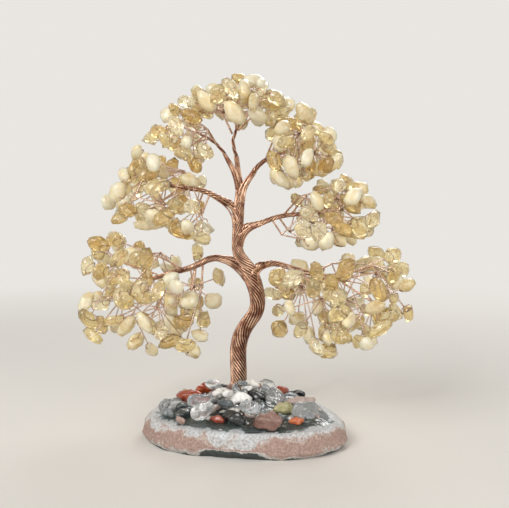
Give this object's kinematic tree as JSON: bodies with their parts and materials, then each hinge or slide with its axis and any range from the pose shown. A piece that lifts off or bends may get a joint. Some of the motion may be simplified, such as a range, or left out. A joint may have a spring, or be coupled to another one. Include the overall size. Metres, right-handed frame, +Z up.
{
  "type": "gemstone tree ornament",
  "caption": "Table ornament: twisted copper-wire tree with posable limbs that carry tumbled citrine chips, set in resin and gravel on an agate slice.",
  "frame": {"origin": "where the trunk's upright axis meets the table, on the agate slice's flat underside", "axes": "+Z up along the trunk's upright axis, -Y towards the front, +X to the right seen from the front"},
  "size_m": [0.1376, 0.0703, 0.1459],
  "materials": {
    "copper_wire": "bright drawn copper wire, slightly toned, twisted into ropes",
    "citrine_clear": "tumbled clear honey citrine, polished",
    "citrine_milky": "tumbled milky pale citrine, polished",
    "banded_agate": "polished dark grey top, white quartz band, rough tan rind",
    "clear_resin": "clear glossy cast resin",
    "black_obsidian": "tumbled, glossy",
    "clear_quartz": "tumbled clear and frosty quartz",
    "green_prehnite": "tumbled olive green",
    "red_jasper": "tumbled orange to brown red",
    "rose_quartz": "tumbled pale pink to pink brown",
    "smoky_agate": "tumbled grey, part clear",
    "white_pebbles": "tumbled white to cream"
  },
  "bodies": {
    "base_and_trunk": {"agate_base": "banded_agate", "crown_citrine_clear": "citrine_clear", "crown_citrine_milky": "citrine_milky", "crown_limb": "copper_wire", "crown_side_branches": "copper_wire", "crown_twigs": "copper_wire", "gravel_black_obsidian": "black_obsidian", "gravel_clear_quartz": "clear_quartz", "gravel_green_prehnite": "green_prehnite", "gravel_red_jasper": "red_jasper", "gravel_rose_quartz": "rose_quartz", "gravel_smoky_agate": "smoky_agate", "gravel_white_pebbles": "white_pebbles", "resin_bed": "clear_resin", "root_wires": "copper_wire", "trunk_bundle": "copper_wire"},
    "left_low": {"left_low_citrine_clear": "citrine_clear", "left_low_citrine_milky": "citrine_milky", "left_low_limb": "copper_wire", "left_low_side_branches": "copper_wire", "left_low_twigs": "copper_wire"},
    "right_low": {"right_low_citrine_clear": "citrine_clear", "right_low_citrine_milky": "citrine_milky", "right_low_limb": "copper_wire", "right_low_side_branches": "copper_wire", "right_low_twigs": "copper_wire"},
    "left_mid": {"left_mid_citrine_clear": "citrine_clear", "left_mid_citrine_milky": "citrine_milky", "left_mid_limb": "copper_wire", "left_mid_side_branches": "copper_wire", "left_mid_twigs": "copper_wire"},
    "right_mid": {"right_mid_citrine_clear": "citrine_clear", "right_mid_citrine_milky": "citrine_milky", "right_mid_limb": "copper_wire", "right_mid_side_branches": "copper_wire", "right_mid_twigs": "copper_wire"},
    "right_high": {"right_high_citrine_clear": "citrine_clear", "right_high_citrine_milky": "citrine_milky", "right_high_limb": "copper_wire", "right_high_side_branches": "copper_wire", "right_high_twigs": "copper_wire"},
    "left_high": {"left_high_citrine_clear": "citrine_clear", "left_high_citrine_milky": "citrine_milky", "left_high_limb": "copper_wire", "left_high_side_branches": "copper_wire", "left_high_twigs": "copper_wire"}
  },
  "joints": [
    {"name": "left_low_swing", "type": "hinge", "parent": "base_and_trunk", "child": "left_low", "pos_m": [0, 0, 0.07058], "axis": [0, 0, 1], "range_deg": [-20, 20]},
    {"name": "right_low_swing", "type": "hinge", "parent": "base_and_trunk", "child": "right_low", "pos_m": [0, 0, 0.06822], "axis": [0, 0, 1], "range_deg": [-20, 20]},
    {"name": "left_mid_swing", "type": "hinge", "parent": "base_and_trunk", "child": "left_mid", "pos_m": [0, 0, 0.09357], "axis": [0, 0, 1], "range_deg": [-20, 20]},
    {"name": "right_mid_swing", "type": "hinge", "parent": "base_and_trunk", "child": "right_mid", "pos_m": [0, 0, 0.08429], "axis": [0, 0, 1], "range_deg": [-20, 20]},
    {"name": "right_high_swing", "type": "hinge", "parent": "base_and_trunk", "child": "right_high", "pos_m": [0, 0, 0.10202], "axis": [0, 0, 1], "range_deg": [-20, 20]},
    {"name": "left_high_swing", "type": "hinge", "parent": "base_and_trunk", "child": "left_high", "pos_m": [0, 0, 0.10811], "axis": [0, 0, 1], "range_deg": [-20, 20]}
  ]
}
